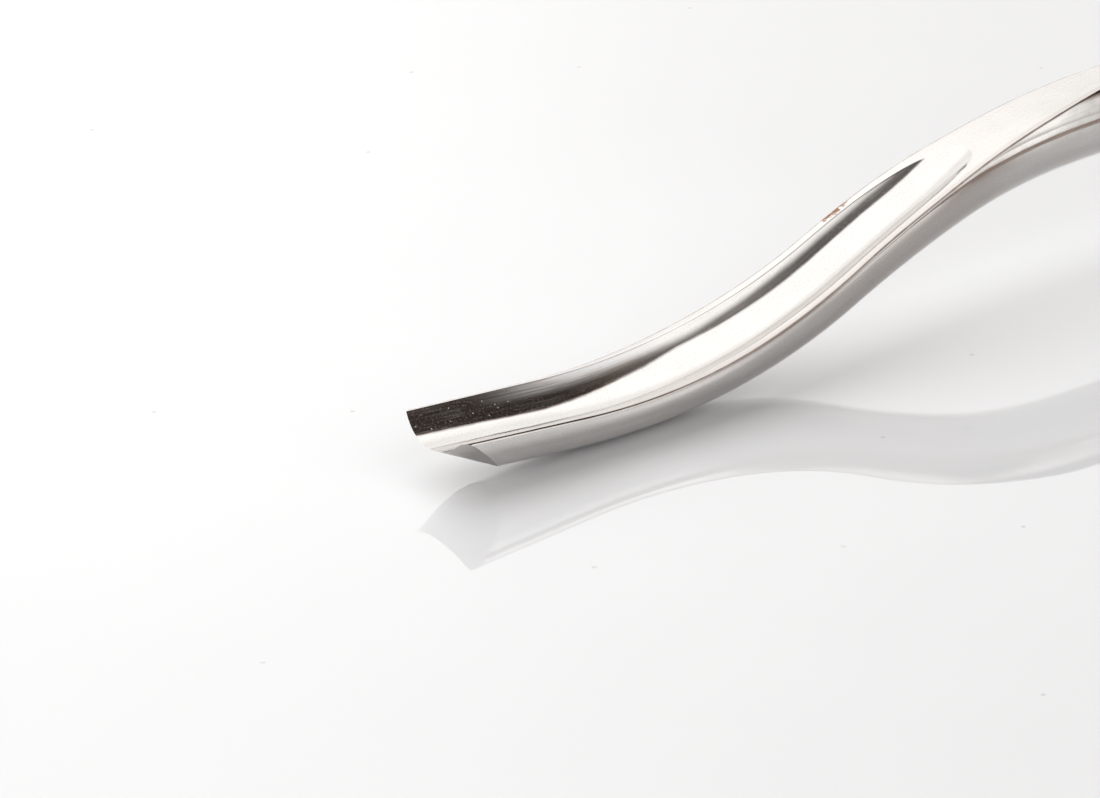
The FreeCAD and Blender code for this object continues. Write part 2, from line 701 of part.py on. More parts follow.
def make_tang_nut():
    """Hexagon nut that draws the tang against the handle's web."""
    body = new_body("tang_nut", "axis_z")
    sketch = new_sketch(body, "nut_outline", "YZ_Plane")
    sketch.AttachmentOffset = Placement(Vector(0, 0, value("nut_x")), Rotation())
    sketch.setExpression("AttachmentOffset.Base.z", "Sizes.nut_x")
    reach = number("nut_flats/2/cos(180deg/{0})".format(NUT_SIDES))
    turns = [2 * math.pi * i / NUT_SIDES for i in range(NUT_SIDES)]
    corners = [Vector(reach * math.cos(turn), reach * math.sin(turn), 0) for turn in turns]
    corners.append(corners[0])
    lines = [sketch.addGeometry(Part.LineSegment(*pair)) for pair in zip(corners, corners[1:])]
    rim = sketch.addGeometry(Part.Circle(Vector(0, 0, 0), Vector(0, 0, 1), reach), True)
    sketch.addConstraint(Sketcher.Constraint("Coincident", rim, CENTRE, X_AXIS, START))
    for i, line in enumerate(lines):
        sketch.addConstraint(Sketcher.Constraint("Coincident", line, END, lines[(i + 1) % NUT_SIDES], START))
        sketch.addConstraint(Sketcher.Constraint("PointOnObject", line, START, rim))
    for line in lines[1:]:
        sketch.addConstraint(Sketcher.Constraint("Equal", lines[0], line))
    sketch.addConstraint(Sketcher.Constraint("PointOnObject", lines[0], START, X_AXIS))
    drive(sketch, Sketcher.Constraint("Radius", rim, reach), "nut_flats/2/cos(180deg/{0})".format(NUT_SIDES))
    hole = sketch.addGeometry(Part.Circle(Vector(0, 0, 0), Vector(0, 0, 1), number("thread_r+slack")))
    sketch.addConstraint(Sketcher.Constraint("Coincident", hole, CENTRE, X_AXIS, START))
    drive(sketch, Sketcher.Constraint("Radius", hole, number("thread_r+slack")), "thread_r+slack")
    pad = body.newObject("PartDesign::Pad", "nut_thickness")
    pad.Profile = sketch
    pad.setExpression("Length", "Sizes.nut_thick")
    body.Tip = pad
    doc.recompute()
    return body


def make_rear_plug():
    """Plug that closes the handle, with a collar, a plain butt and a rear flat."""
    body = new_body("rear_plug", "axis_z")
    turned(body, "plug", [
        ("plug_front_x", "plug_bore_r"),
        ("plug_front_x", "rear_bore_r-slack"),
        ("tube_end_x", "rear_bore_r-slack"),
        ("tube_end_x", "tail_r-tube_break"),
        ("tube_end_x+tube_break", "tail_r"),
        ("collar_end_x-tube_break", "tail_r"),
        ("collar_end_x", "tail_r-tube_break"),
        ("collar_end_x", "butt_r"),
        ("butt_end_x", "butt_r"),
        ("butt_end_x", ON_AXIS),
        ("plug_front_x+plug_bore_in", ON_AXIS),
        ("plug_front_x+plug_bore_in", "plug_bore_r"),
    ])
    turned_groove(body, "plug_seal_groove", "plug_seal_x", "ring_wire", "rear_bore_r-ring_wire", "rear_bore_r")
    end = value("butt_end_x")
    rim = outer_edges(body.Tip.Shape, lambda edge: abs(edge.BoundBox.XMin - end) < CLOSE
                      and edge.BoundBox.XLength < CLOSE)
    dressed(body, "butt_round", "PartDesign::Fillet", "Radius", "butt_dome", rim)
    return body


# ------------------------------------------------------------------ assembly

nodes = [
    make_blade(),
    o_ring("front_seal", "shoulder_x+seal_wire/2", "tang_r+slack", "seal_wire"),
    make_front_cone(),
    o_ring("cone_seal", "cone_seal_x", "bore_r-ring_wire", "ring_wire"),
    make_tang_pin(),
    make_handle_tube(),
    make_tang_washer(),
    make_tang_nut(),
    make_rear_plug(),
    o_ring("plug_seal", "plug_seal_x", "rear_bore_r-ring_wire", "ring_wire"),
    make_band("colour_ring", "mark_x", "mark_wide", "mark_out_r", "mark_round"),
]
for index in range(int(value("groove_count"))):
    place = "groove_first_x+{0}*groove_pitch".format(index)
    nodes.append(make_band("grip_ring_{0}".format(index + 1), place, "groove_wide", "ring_out_r", "ring_round"))

doc.recompute()
for item in doc.Objects:
    if "Invalid" in item.State or "Error" in item.State:
        raise RuntimeError("feature failed: " + item.Label)
for node in nodes:
    shape = node.Shape
    if shape.isNull() or not shape.isValid() or len(shape.Solids) != 1:
        raise RuntimeError("bad shape: " + node.Label)
    shape.exportStep("parts/{0}.step".format(node.Label))
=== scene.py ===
import math

import bmesh
import bpy
import numpy as np
from mathutils import Matrix, Vector


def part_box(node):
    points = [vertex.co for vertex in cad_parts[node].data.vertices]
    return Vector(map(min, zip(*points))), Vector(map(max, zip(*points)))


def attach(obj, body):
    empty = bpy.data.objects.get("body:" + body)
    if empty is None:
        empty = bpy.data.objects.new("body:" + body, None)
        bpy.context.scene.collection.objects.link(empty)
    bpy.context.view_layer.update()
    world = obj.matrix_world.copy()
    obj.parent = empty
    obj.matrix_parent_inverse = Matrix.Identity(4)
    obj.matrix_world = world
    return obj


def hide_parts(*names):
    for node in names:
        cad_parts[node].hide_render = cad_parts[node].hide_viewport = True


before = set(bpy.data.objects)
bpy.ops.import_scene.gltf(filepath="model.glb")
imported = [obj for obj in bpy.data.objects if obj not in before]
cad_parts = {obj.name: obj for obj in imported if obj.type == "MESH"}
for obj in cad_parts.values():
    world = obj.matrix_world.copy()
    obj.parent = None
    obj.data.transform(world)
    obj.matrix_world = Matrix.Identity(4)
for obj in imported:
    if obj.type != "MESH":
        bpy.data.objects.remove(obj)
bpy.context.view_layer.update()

MM = 0.001
blade_low, blade_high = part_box("blade")

# The tool frame of the design: X = 0 at the rim corners of the tip, which stand this
# far behind the blade's front end.
NOSE_BULGE = 0.55 * MM
TOOL_X = blade_low[0] + NOSE_BULGE


def tool_point(x, y, z):
    """A point of the tool frame, given in millimetres."""
    return Vector((TOOL_X + x * MM, y * MM, z * MM))


# ------------------------------------------------------------------ camera

ELEVATION = math.radians(24.76)
AZIMUTH = math.radians(32.56)
ROLL = math.radians(-3.32)
DISTANCE = 201.8 * MM
FOCAL_PIXELS = 26.052 * 201.8
PICTURE_WIDTH = 1100
SENSOR = 36.0
AIM = tool_point(5.054, 0.0, 2.245)
NEAREST = 5 * MM
FARTHEST = 20.0


def add_camera():
    right = Vector((math.cos(AZIMUTH), -math.sin(AZIMUTH), 0.0))
    level = Vector((math.sin(AZIMUTH), math.cos(AZIMUTH), 0.0))
    ahead = level * math.cos(ELEVATION) - Vector((0, 0, math.sin(ELEVATION)))
    up = level * math.sin(ELEVATION) + Vector((0, 0, math.cos(ELEVATION)))
    tilted_right = right * math.cos(ROLL) + up * math.sin(ROLL)
    tilted_up = up * math.cos(ROLL) - right * math.sin(ROLL)
    place = AIM - ahead * DISTANCE
    data = bpy.data.cameras.new("camera")
    data.sensor_width = SENSOR
    data.lens = FOCAL_PIXELS / PICTURE_WIDTH * SENSOR
    data.clip_start = NEAREST
    data.clip_end = FARTHEST
    camera = bpy.data.objects.new("camera", data)
    turn = Matrix((tilted_right, tilted_up, -ahead)).transposed()
    camera.matrix_world = Matrix.Translation(place) @ turn.to_4x4()
    bpy.context.scene.collection.objects.link(camera)
    bpy.context.scene.camera = camera


# ------------------------------------------------------------------- blade
# The blade's skin, finer than the frame's mesh so that it mirrors cleanly.  This
# section is in millimetres of the tool frame and repeats the design's sizes.

# side view of the flat top: a falling straight, an upward bend, a downward bend
TIP_Z = 2.62
TIP_TAN = 0.088
BEND_A_X = 5.306
BEND_A_R = 25.6
BEND_B_X = 18.64
BEND_B_R = 41.4
TIP_COS = 1 / math.hypot(1, TIP_TAN)
BEND_A_CX = BEND_A_X + BEND_A_R * TIP_TAN * TIP_COS
BEND_A_CZ = TIP_Z - TIP_TAN * BEND_A_X + BEND_A_R * TIP_COS
BEND_B_SIN = (BEND_B_X - BEND_A_CX) / BEND_A_R
BEND_B_CX = BEND_B_X + BEND_B_R * BEND_B_SIN
BEND_B_CZ = BEND_A_CZ - (BEND_A_R + BEND_B_R) * math.sqrt(1 - BEND_B_SIN ** 2)
# the downward bend's top is the shank's neck, where a narrow flat runs out
AXIS_Z = 6.9
NECK_X = BEND_B_CX
NECK_R = BEND_B_CZ + BEND_B_R - AXIS_Z
NECK_HALF = 0.4
NECK_DROP = NECK_R - math.sqrt(NECK_R ** 2 - NECK_HALF ** 2)
DROP_FROM_X = 33.0
RUN_OUT = 3.5
LAST_HALF = 0.02
RIM_ROUND = 0.12
EDGE_ROUND = 0.05
# past the scoop, the lines that formed it lie on the flat, in this share of its width
PLAIN_START = 0.02
PLAIN_MOST = 0.5
PLAIN_EDGE = 0.01
# ground cone at the tip: slope, height of its axis and radius at X = 0
BEVEL_TAN = math.tan(math.radians(28))
BEVEL_Z = 4.22
BEVEL_R = 2.624

# x, half width of the flat top, depth below it
BAR = [
    (-1.5, 2.10, 1.93), (0.5, 2.14, 1.95), (2.5, 2.18, 1.97), (5.0, 2.22, 1.99),
    (7.5, 2.27, 2.02), (10.0, 2.30, 2.09), (13.0, 2.26, 2.22), (16.0, 2.13, 2.36),
    (20.0, 1.98, 2.47), (23.0, 1.85, 2.50), (26.0, 1.56, 2.56), (29.0, 1.30, 2.80),
    (33.0, 0.80, 3.25), (NECK_X, NECK_HALF, 2 * NECK_R - NECK_DROP),
]
# x, half width, depth
SCOOP = [
    (-1.5, 1.91, 0.78), (0.5, 1.94, 0.78), (2.5, 1.97, 0.80), (5.0, 2.00, 0.84),
    (7.5, 1.98, 0.87), (10.0, 1.92, 0.89), (13.0, 1.82, 0.90), (16.0, 1.70, 0.88),
    (19.0, 1.62, 0.84), (21.5, 1.53, 0.74), (23.3, 1.33, 0.54), (24.6, 0.98, 0.27),
    (25.3, 0.50, 0.07),
]
SCOOP_OUT = (25.9, 1.7, -0.25)
# x and radius of the turned part, from the neck to the tang's end
SHANK = [(NECK_X, NECK_R), (45.0, 2.05), (52.6, 2.6)]
TANG = [(52.6, 1.95), (85.0, 1.95), (85.0, 1.45), (91.6, 1.45), (92.0, 1.05)]

# steps of the section, from the middle of the top to the middle of the underside
SCOOP_STEPS = 28
EDGE_STEPS = 4
LAND_STEPS = 4
ROUND_STEPS = 8
BELLY_STEPS = 28
RIM = SCOOP_STEPS + EDGE_STEPS + LAND_STEPS
BOTTOM = RIM + ROUND_STEPS + BELLY_STEPS
LOOP = 2 * BOTTOM
CAP_STEPS = 12
# rows along the blade: fanned out from the ground front to a plain row, evenly spaced,
# closer towards the scoop's end, then along the run to the neck and the shank
PLAIN_ROW_X = 6.0
FRONT_ROWS = 44
ROW_GAP = 0.14
SCOOP_END_LENGTH = 1.2
SCOOP_END_ROWS = 24
RUN_ROWS = 60
SHANK_ROWS = 45
HALVINGS = 40
FRONT_ROUNDS = 12
SHARP_ANGLE = math.radians(17)


def spline(knots, values):
    """Natural cubic spline through the points."""
    knots = np.array(knots)
    values = np.array(values)
    gaps = np.diff(knots)
    slopes = np.diff(values) / gaps
    matrix = np.eye(len(knots))
    right = np.zeros(len(knots))
    for i in range(1, len(knots) - 1):
        matrix[i, i - 1:i + 2] = gaps[i - 1], 2 * (gaps[i - 1] + gaps[i]), gaps[i]
        right[i] = 6 * (slopes[i] - slopes[i - 1])
    bend = np.linalg.solve(matrix, right)

    def at(x):
        i = min(max(int(np.searchsorted(knots, x)) - 1, 0), len(gaps) - 1)
        gap = gaps[i]
        done = x - knots[i]
        left = gap - done
        cubic = (bend[i] * left ** 3 + bend[i + 1] * done ** 3) / (6 * gap)
        start = (values[i] / gap - bend[i] * gap / 6) * left
        return cubic + start + (values[i + 1] / gap - bend[i + 1] * gap / 6) * done

    return at


bar_half = spline([row[0] for row in BAR], [row[1] for row in BAR])
bar_depth = spline([row[0] for row in BAR], [row[2] for row in BAR])
scoop_xs = [row[0] for row in SCOOP] + [SCOOP_OUT[0]]
scoop_radius = spline(scoop_xs, [(w * w + d * d) / (2 * d) for x, w, d in SCOOP] + [SCOOP_OUT[1]])
scoop_depth = spline(scoop_xs, [d for x, w, d in SCOOP] + [SCOOP_OUT[2]])


def scoop_end():
    """x where the scoop runs out."""
    low, high = SCOOP[-1][0], SCOOP_OUT[0]
    for _ in range(HALVINGS):
        middle = (low + high) / 2
        if scoop_depth(middle) > 0:
            low = middle
        else:
            high = middle
    return low


SCOOP_END = scoop_end()


def rim_height(x):
    """Height of the flat top at x, up to the neck."""
    if x < BEND_A_X:
        return TIP_Z - TIP_TAN * x
    if x < BEND_B_X:
        return BEND_A_CZ - math.sqrt(BEND_A_R ** 2 - (x - BEND_A_CX) ** 2)
    return BEND_B_CZ + math.sqrt(BEND_B_R ** 2 - (x - BEND_B_CX) ** 2)


def bar_sizes(x):
    """Half width, depth and height of the flat top at x."""
    if x <= NECK_X:
        late = max(0.0, (x - DROP_FROM_X) / (NECK_X - DROP_FROM_X))
        top = rim_height(x) - NECK_DROP * late * late * (3 - 2 * late)
        return bar_half(x), bar_depth(x), top
    radius = float(np.interp(x, *zip(*SHANK)))
    left = max(0.0, 1 - (x - NECK_X) / RUN_OUT)
    half = max(NECK_HALF * left * left, LAST_HALF)
    rise = math.sqrt(radius ** 2 - half ** 2)
    return half, radius + rise, AXIS_Z + rise


def half_section(x):
    """(y, z) points of the +Y half of the section, from the middle of the top round to
    the middle of the underside."""
    half, depth, top = bar_sizes(x)
    lift = (half ** 2 - depth ** 2) / (2 * depth)
    under = depth + lift
    flat = math.sqrt((under - RIM_ROUND) ** 2 - (lift + RIM_ROUND) ** 2)
    deep = scoop_depth(x) if x < SCOOP_END else 0.0
    if deep > 0:
        radius = scoop_radius(x)
        wide = math.sqrt(2 * radius * deep - deep * deep)
        edge = min(EDGE_ROUND, wide / 4, (flat - wide) / 4)
        angles = np.linspace(0, math.asin(wide / radius) - edge / radius, SCOOP_STEPS + 1)
        points = [(radius * math.sin(a), radius - deep - radius * math.cos(a)) for a in angles]
    else:
        wide = flat * min(PLAIN_MOST, PLAIN_START + max(0.0, x - SCOOP_END) / RUN_OUT)
        edge = PLAIN_EDGE * wide
        points = [(y, 0.0) for y in np.linspace(0, wide, SCOOP_STEPS + 1)]
    inner = points[-1]
    for t in np.linspace(0, 1, EDGE_STEPS + 1)[1:]:
        bow = 2 * t * (1 - t)
        y = (1 - t) ** 2 * inner[0] + bow * wide + t * t * (wide + edge)
        points.append((y, (1 - t) ** 2 * inner[1]))
    for y in np.linspace(wide + edge, flat, LAND_STEPS + 1)[1:]:
        points.append((y, 0.0))
    side = math.atan2(-(RIM_ROUND + lift), flat)
    for a in np.linspace(math.pi / 2, side, ROUND_STEPS + 1)[1:]:
        points.append((flat + RIM_ROUND * math.cos(a), RIM_ROUND * (math.sin(a) - 1)))
    for a in np.linspace(side, -math.pi / 2, BELLY_STEPS + 1)[1:]:
        points.append((under * math.cos(a), lift + under * math.sin(a)))
    return [(y, top + z) for y, z in points]


def front_x(i):
    """x where line i of the section meets the ground cone."""
    x = 0.0
    for _ in range(FRONT_ROUNDS):
        y, z = half_section(x)[i]
        x = (math.hypot(y, z - BEVEL_Z) - BEVEL_R) / BEVEL_TAN
    return x


def blade_rows():
    """The half section's points along the blade: rows of (x, y, z)."""
    fronts = [front_x(i) for i in range(BOTTOM + 1)]
    rows = []
    for share in np.linspace(0, 1, FRONT_ROWS + 1)[:-1]:
        row = []
        for i, front in enumerate(fronts):
            x = front + (PLAIN_ROW_X - front) * share
            row.append((x, *half_section(x)[i]))
        rows.append(row)
    slow = SCOOP_END - SCOOP_END_LENGTH
    stations = list(np.arange(PLAIN_ROW_X, slow, ROW_GAP))
    for share in np.linspace(0, 1, SCOOP_END_ROWS):
        stations.append(SCOOP_END - (SCOOP_END - slow) * (1 - share) ** 2)
    stations += list(np.linspace(SCOOP_END, NECK_X, RUN_ROWS)[1:])
    stations += list(np.linspace(NECK_X, SHANK[-1][0], SHANK_ROWS)[1:])
    for x in stations:
        rows.append([(x, y, z) for y, z in half_section(x)])
    turns = np.linspace(math.pi / 2, -math.pi / 2, BOTTOM + 1)
    for x, radius in TANG:
        rows.append([(x, radius * math.cos(a), AXIS_Z + radius * math.sin(a)) for a in turns])
    return rows


def all_round(row):
    """The full loop of a half row: +Y side, then the -Y side back to the top."""
    return row + [(x, -y, z) for x, y, z in row[BOTTOM - 1:0:-1]]


def grain_of(row, along):
    """Per point of a full loop: length along, signed length round from the top's middle,
    and length outwards from the rim, all in millimetres."""
    steps = [math.dist(a, b) for a, b in zip(row, row[1:])]
    round_the_side = [0.0, *np.cumsum(steps)]
    rim = round_the_side[RIM]
    right = [(along, s, s - rim) for s in round_the_side]
    return right + [(along, -s, s - rim) for s in round_the_side[BOTTOM - 1:0:-1]]


def cap_point(top, low, share):
    """Point of the ground cone between a front point of the top and one of the underside."""
    y = top[1] + (low[1] - top[1]) * share
    z = top[2] + (low[2] - top[2]) * share
    return ((math.hypot(y, z - BEVEL_Z) - BEVEL_R) / BEVEL_TAN, y, z)


def tube_faces(count):
    """Quads between the loops of count rows, and one face over the last."""
    faces = []
    for k in range(count - 1):
        for i in range(LOOP):
            j = (i + 1) % LOOP
            faces.append((k * LOOP + i, k * LOOP + j, (k + 1) * LOOP + j, (k + 1) * LOOP + i))
    faces.append(tuple((count - 1) * LOOP + i for i in range(LOOP)))
    return faces


def cap_faces(points, grain):
    """Faces of the ground cap, in columns from the -Y rim to the +Y rim; adds its inner
    points to points and grain."""
    near_rim = LOOP - RIM
    columns = [((near_rim + c) % LOOP, near_rim - c) for c in range(2 * RIM + 1)]
    grid = []
    for high, low in columns[1:-1]:
        column = [high]
        for share in np.linspace(0, 1, CAP_STEPS + 1)[1:-1]:
            column.append(len(points))
            points.append(cap_point(points[high], points[low], share))
            grain.append((0.0, points[-1][1], share))
        grid.append(column + [low])
    faces = []
    for left, right in zip(grid, grid[1:]):
        for m in range(CAP_STEPS):
            faces.append((left[m], left[m + 1], right[m + 1], right[m]))
    for corner, column in ((columns[0][0], grid[0]), (columns[-1][0], grid[-1])):
        for m in range(CAP_STEPS):
            faces.append((corner, column[m], column[m + 1]))
    return faces


def build_blade(polished, ground):
    """The blade's skin, in place of the CAD node's mesh."""
    rows = blade_rows()
    points = []
    grain = []
    along = 0.0
    for k, row in enumerate(rows):
        if k:
            along += math.dist(row[RIM], rows[k - 1][RIM])
        points += all_round(row)
        grain += grain_of(row, along)
    skin = tube_faces(len(rows))
    cap = cap_faces(points, grain)
    mesh = bpy.data.meshes.new("blade_skin")
    mesh.from_pydata([tool_point(*p) for p in points], [], skin + cap)
    lay = mesh.attributes.new("grain", "FLOAT_VECTOR", "POINT")
    lay.data.foreach_set("vector", np.array(grain, dtype=np.float32).ravel())
    outwards = bmesh.new()
    outwards.from_mesh(mesh)
    bmesh.ops.recalc_face_normals(outwards, faces=outwards.faces)
    outwards.to_mesh(mesh)
    outwards.free()
    mesh.shade_smooth()
    mesh.set_sharp_from_angle(angle=SHARP_ANGLE)
    for face in mesh.polygons[len(skin):]:
        face.material_index = 1
    mesh.materials.append(polished)
    mesh.materials.append(ground)
    blade = bpy.data.objects.new("blade_skin", mesh)
    bpy.context.scene.collection.objects.link(blade)
    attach(blade, "root")
    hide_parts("blade")


# ------------------------------------------------------------- node helpers

class Graph:
    """Builds one node tree; values may be numbers or output sockets."""

    def __init__(self, tree):
        self.tree = tree
        tree.nodes.clear()

    def node(self, kind, **settings):
        made = self.tree.nodes.new("ShaderNode" + kind)
        for name, value in settings.items():
            setattr(made, name, value)
        return made

    def put(self, socket, value):
        if isinstance(value, bpy.types.NodeSocket):
            self.tree.links.new(value, socket)
        else:
            socket.default_value = value

    def math(self, operation, *values):
        made = self.node("Math", operation=operation)
        for socket, value in zip(made.inputs, values):
            self.put(socket, value)
        return made.outputs[0]

    def times(self, first, *others):
        """Product of the values."""
        for other in others:
            first = self.math("MULTIPLY", first, other)
        return first

    def most(self, first, *others):
        """Largest of the values."""
        for other in others:
            first = self.math("MAXIMUM", first, other)
        return first

    def between(self, low, high, share):
        """low at share 0, high at share 1."""
        return self.math("MULTIPLY_ADD", share, self.math("SUBTRACT", high, low), low)

    def smooth(self, value, low, high, out_low=0.0, out_high=1.0):
        """Smooth step of value from low to high."""
        made = self.node("MapRange", interpolation_type="SMOOTHSTEP")
        for name, number in (("Value", value), ("From Min", low), ("From Max", high),
                             ("To Min", out_low), ("To Max", out_high)):
            self.put(made.inputs[name], number)
        return made.outputs["Result"]

    def blend(self, factor, first, second):
        """Colour mix: first at factor 0, second at 1."""
        made = self.node("Mix", data_type="RGBA")
        sockets = [s for s in made.inputs if s.type == "RGBA"]
        self.put(made.inputs[0], factor)
        self.put(sockets[0], first)
        self.put(sockets[1], second)
        return [s for s in made.outputs if s.type == "RGBA"][0]

    def split(self, vector):
        made = self.node("SeparateXYZ")
        self.put(made.inputs[0], vector)
        return made.outputs

    def join(self, x, y, z=0.0):
        made = self.node("CombineXYZ")
        for socket, value in zip(made.inputs, (x, y, z)):
            self.put(socket, value)
        return made.outputs[0]

    def grain(self):
        """Millimetres along the blade, round its section and outwards from the rim."""
        return self.split(self.node("Attribute", attribute_name="grain").outputs["Vector"])

    def tool_place(self):
        """Position in the tool frame, in millimetres."""
        x, y, z = self.split(self.node("TexCoord").outputs["Object"])
        return (self.math("MULTIPLY_ADD", x, 1 / MM, -TOOL_X / MM),
                self.times(y, 1 / MM), self.times(z, 1 / MM))

    def bell(self, value, middle, width):
        """1 at the middle, falling smoothly to 0 at width from it."""
        off = self.math("ABSOLUTE", self.math("SUBTRACT", value, middle))
        return self.smooth(off, width, 0.0)

    def dots(self, vector, scale, size, share, space="3D"):
        """Scattered round dots: about share of the cells of a grid of 1/scale has one."""
        made = self.node("TexVoronoi", voronoi_dimensions=space)
        self.put(made.inputs["Vector"], vector)
        made.inputs["Scale"].default_value = scale
        chosen = self.split(made.outputs["Color"])[0]
        near = self.smooth(made.outputs["Distance"], size, size * 0.5)
        return self.times(near, self.math("LESS_THAN", chosen, share))

    def noise(self, vector, scale, detail=2.0, roughness=0.5):
        """Noise from 0 to 1 whose features are 1/scale wide."""
        made = self.node("TexNoise")
        self.put(made.inputs["Vector"], vector)
        made.inputs["Scale"].default_value = scale
        made.inputs["Detail"].default_value = detail
        made.inputs["Roughness"].default_value = roughness
        return made.outputs[0]

    def streaks(self, values, rates, detail, roughness):
        """Noise with a rate of its own, in features a millimetre, for each value."""
        scaled = [self.times(value, rate) for value, rate in zip(values, rates)]
        return self.noise(self.join(*scaled), 1.0, detail, roughness)

    def cloudy(self, cloud, first, second):
        """Two tones in soft patches."""
        return self.blend(self.smooth(cloud, 0.3, 0.7), first, second)

    def bump(self, height, distance, normal=None):
        """Relief of the given depth in metres, on top of another if one is given."""
        made = self.node("Bump")
        made.inputs["Strength"].default_value = 1.0
        made.inputs["Distance"].default_value = distance
        self.put(made.inputs["Height"], height)
        if normal is not None:
            self.put(made.inputs["Normal"], normal)
        return made.outputs[0]


def colour(red, green, blue):
    return (red, green, blue, 1.0)


def material(name, build):
    """New material; build(graph, pins) sets up its Principled shader's inputs."""
    made = bpy.data.materials.new(name)
    made.use_nodes = True
    graph = Graph(made.node_tree)
    shader = graph.node("BsdfPrincipled")
    output = graph.node("OutputMaterial")
    made.node_tree.links.new(shader.outputs[0], output.inputs["Surface"])
    build(graph, shader.inputs)
    return made


# --------------------------------------------------------------- materials

POLISHED_LOW = colour(0.595, 0.578, 0.563)
POLISHED_HIGH = colour(0.630, 0.612, 0.594)
STREAK_TONE = colour(0.47, 0.445, 0.42)
RIM_TARNISH_AND_PAINTED_DARK_LINE = colour(0.13, 0.090, 0.074)
NEAR_RIM_PAINTED_SHADE = colour(0.47, 0.425, 0.405)
NEAR_RIM_PAINTED_HIGHLIGHT = colour(0.84, 0.80, 0.775)
OUTSIDE_PAINTED_DARK_REFLECTION = colour(0.50, 0.462, 0.438)
RUST_DARK = colour(0.26, 0.125, 0.075)
RUST_LIGHT = colour(0.47, 0.25, 0.15)
NICK_TONE = colour(0.10, 0.10, 0.105)
FAR_WALL_PAINTED_REFLECTION = colour(0.73, 0.735, 0.745)
DUST_TONE = colour(0.62, 0.57, 0.52)
# places on the blade, in millimetres of the tool frame: middle and half width
STAIN_X, STAIN_X_WIDTH = 20.1, 1.5
STAIN_Y, STAIN_Y_WIDTH = 1.86, 0.50
NICK_X, NICK_X_WIDTH, NICK_SLANT = 24.95, 0.40, -0.55
NICK_Y, NICK_Y_WIDTH = -0.94, 0.2
PAINTED_REFLECTION_X, PAINTED_REFLECTION_X_WIDTH = 7.4, 5.4
PAINTED_REFLECTION_Y, PAINTED_REFLECTION_Y_WIDTH = 1.82, 0.46
# y at which the near rim's painted dark line, painted shade strip and painted highlight strip set
# in
NEAR_SIDE = -0.5


def rim_tarnish_and_painted_light(graph, tone, spot, along, rim, y):
    """Tarnish along the rims in patches. On the near rim it is made into a solid painted dark
    reflection line, with a painted shade strip inside that rim and a painted highlight strip below
    it.
    """
    near_side = graph.smooth(y, 0.0, NEAR_SIDE)
    patchy = graph.smooth(graph.noise(spot, 1.7, 3.0), 0.30, 0.62, 0.25, 1.0)
    # on the near rim the line is made nearly solid: a painted dark reflection line
    patchy = graph.most(patchy, graph.smooth(y, 0.0, NEAR_SIDE, 0.0, 0.85))
    edge = graph.times(graph.bell(rim, 0.065, 0.105), patchy)
    # painted dark reflection line, wider where the near rim bends up
    painted_dark_line = graph.times(graph.bell(rim, 0.09, 0.17), near_side, graph.bell(along, 15.0, 11.0))
    edge = graph.most(edge, painted_dark_line)
    tone = graph.blend(graph.times(edge, 0.92), tone, RIM_TARNISH_AND_PAINTED_DARK_LINE)
    # painted shade strip on the near land, just inside the rim
    painted_shade_strip = graph.times(graph.bell(rim, -0.10, 0.20), near_side)
    tone = graph.blend(graph.times(painted_shade_strip, 0.55), tone, NEAR_RIM_PAINTED_SHADE)
    # painted highlight strip on the near outer wall, below the rim
    bright = graph.times(graph.bell(rim, 0.30, 0.22), near_side, graph.bell(along, 11.0, 9.0))
    return graph.blend(bright, tone, NEAR_RIM_PAINTED_HIGHLIGHT)


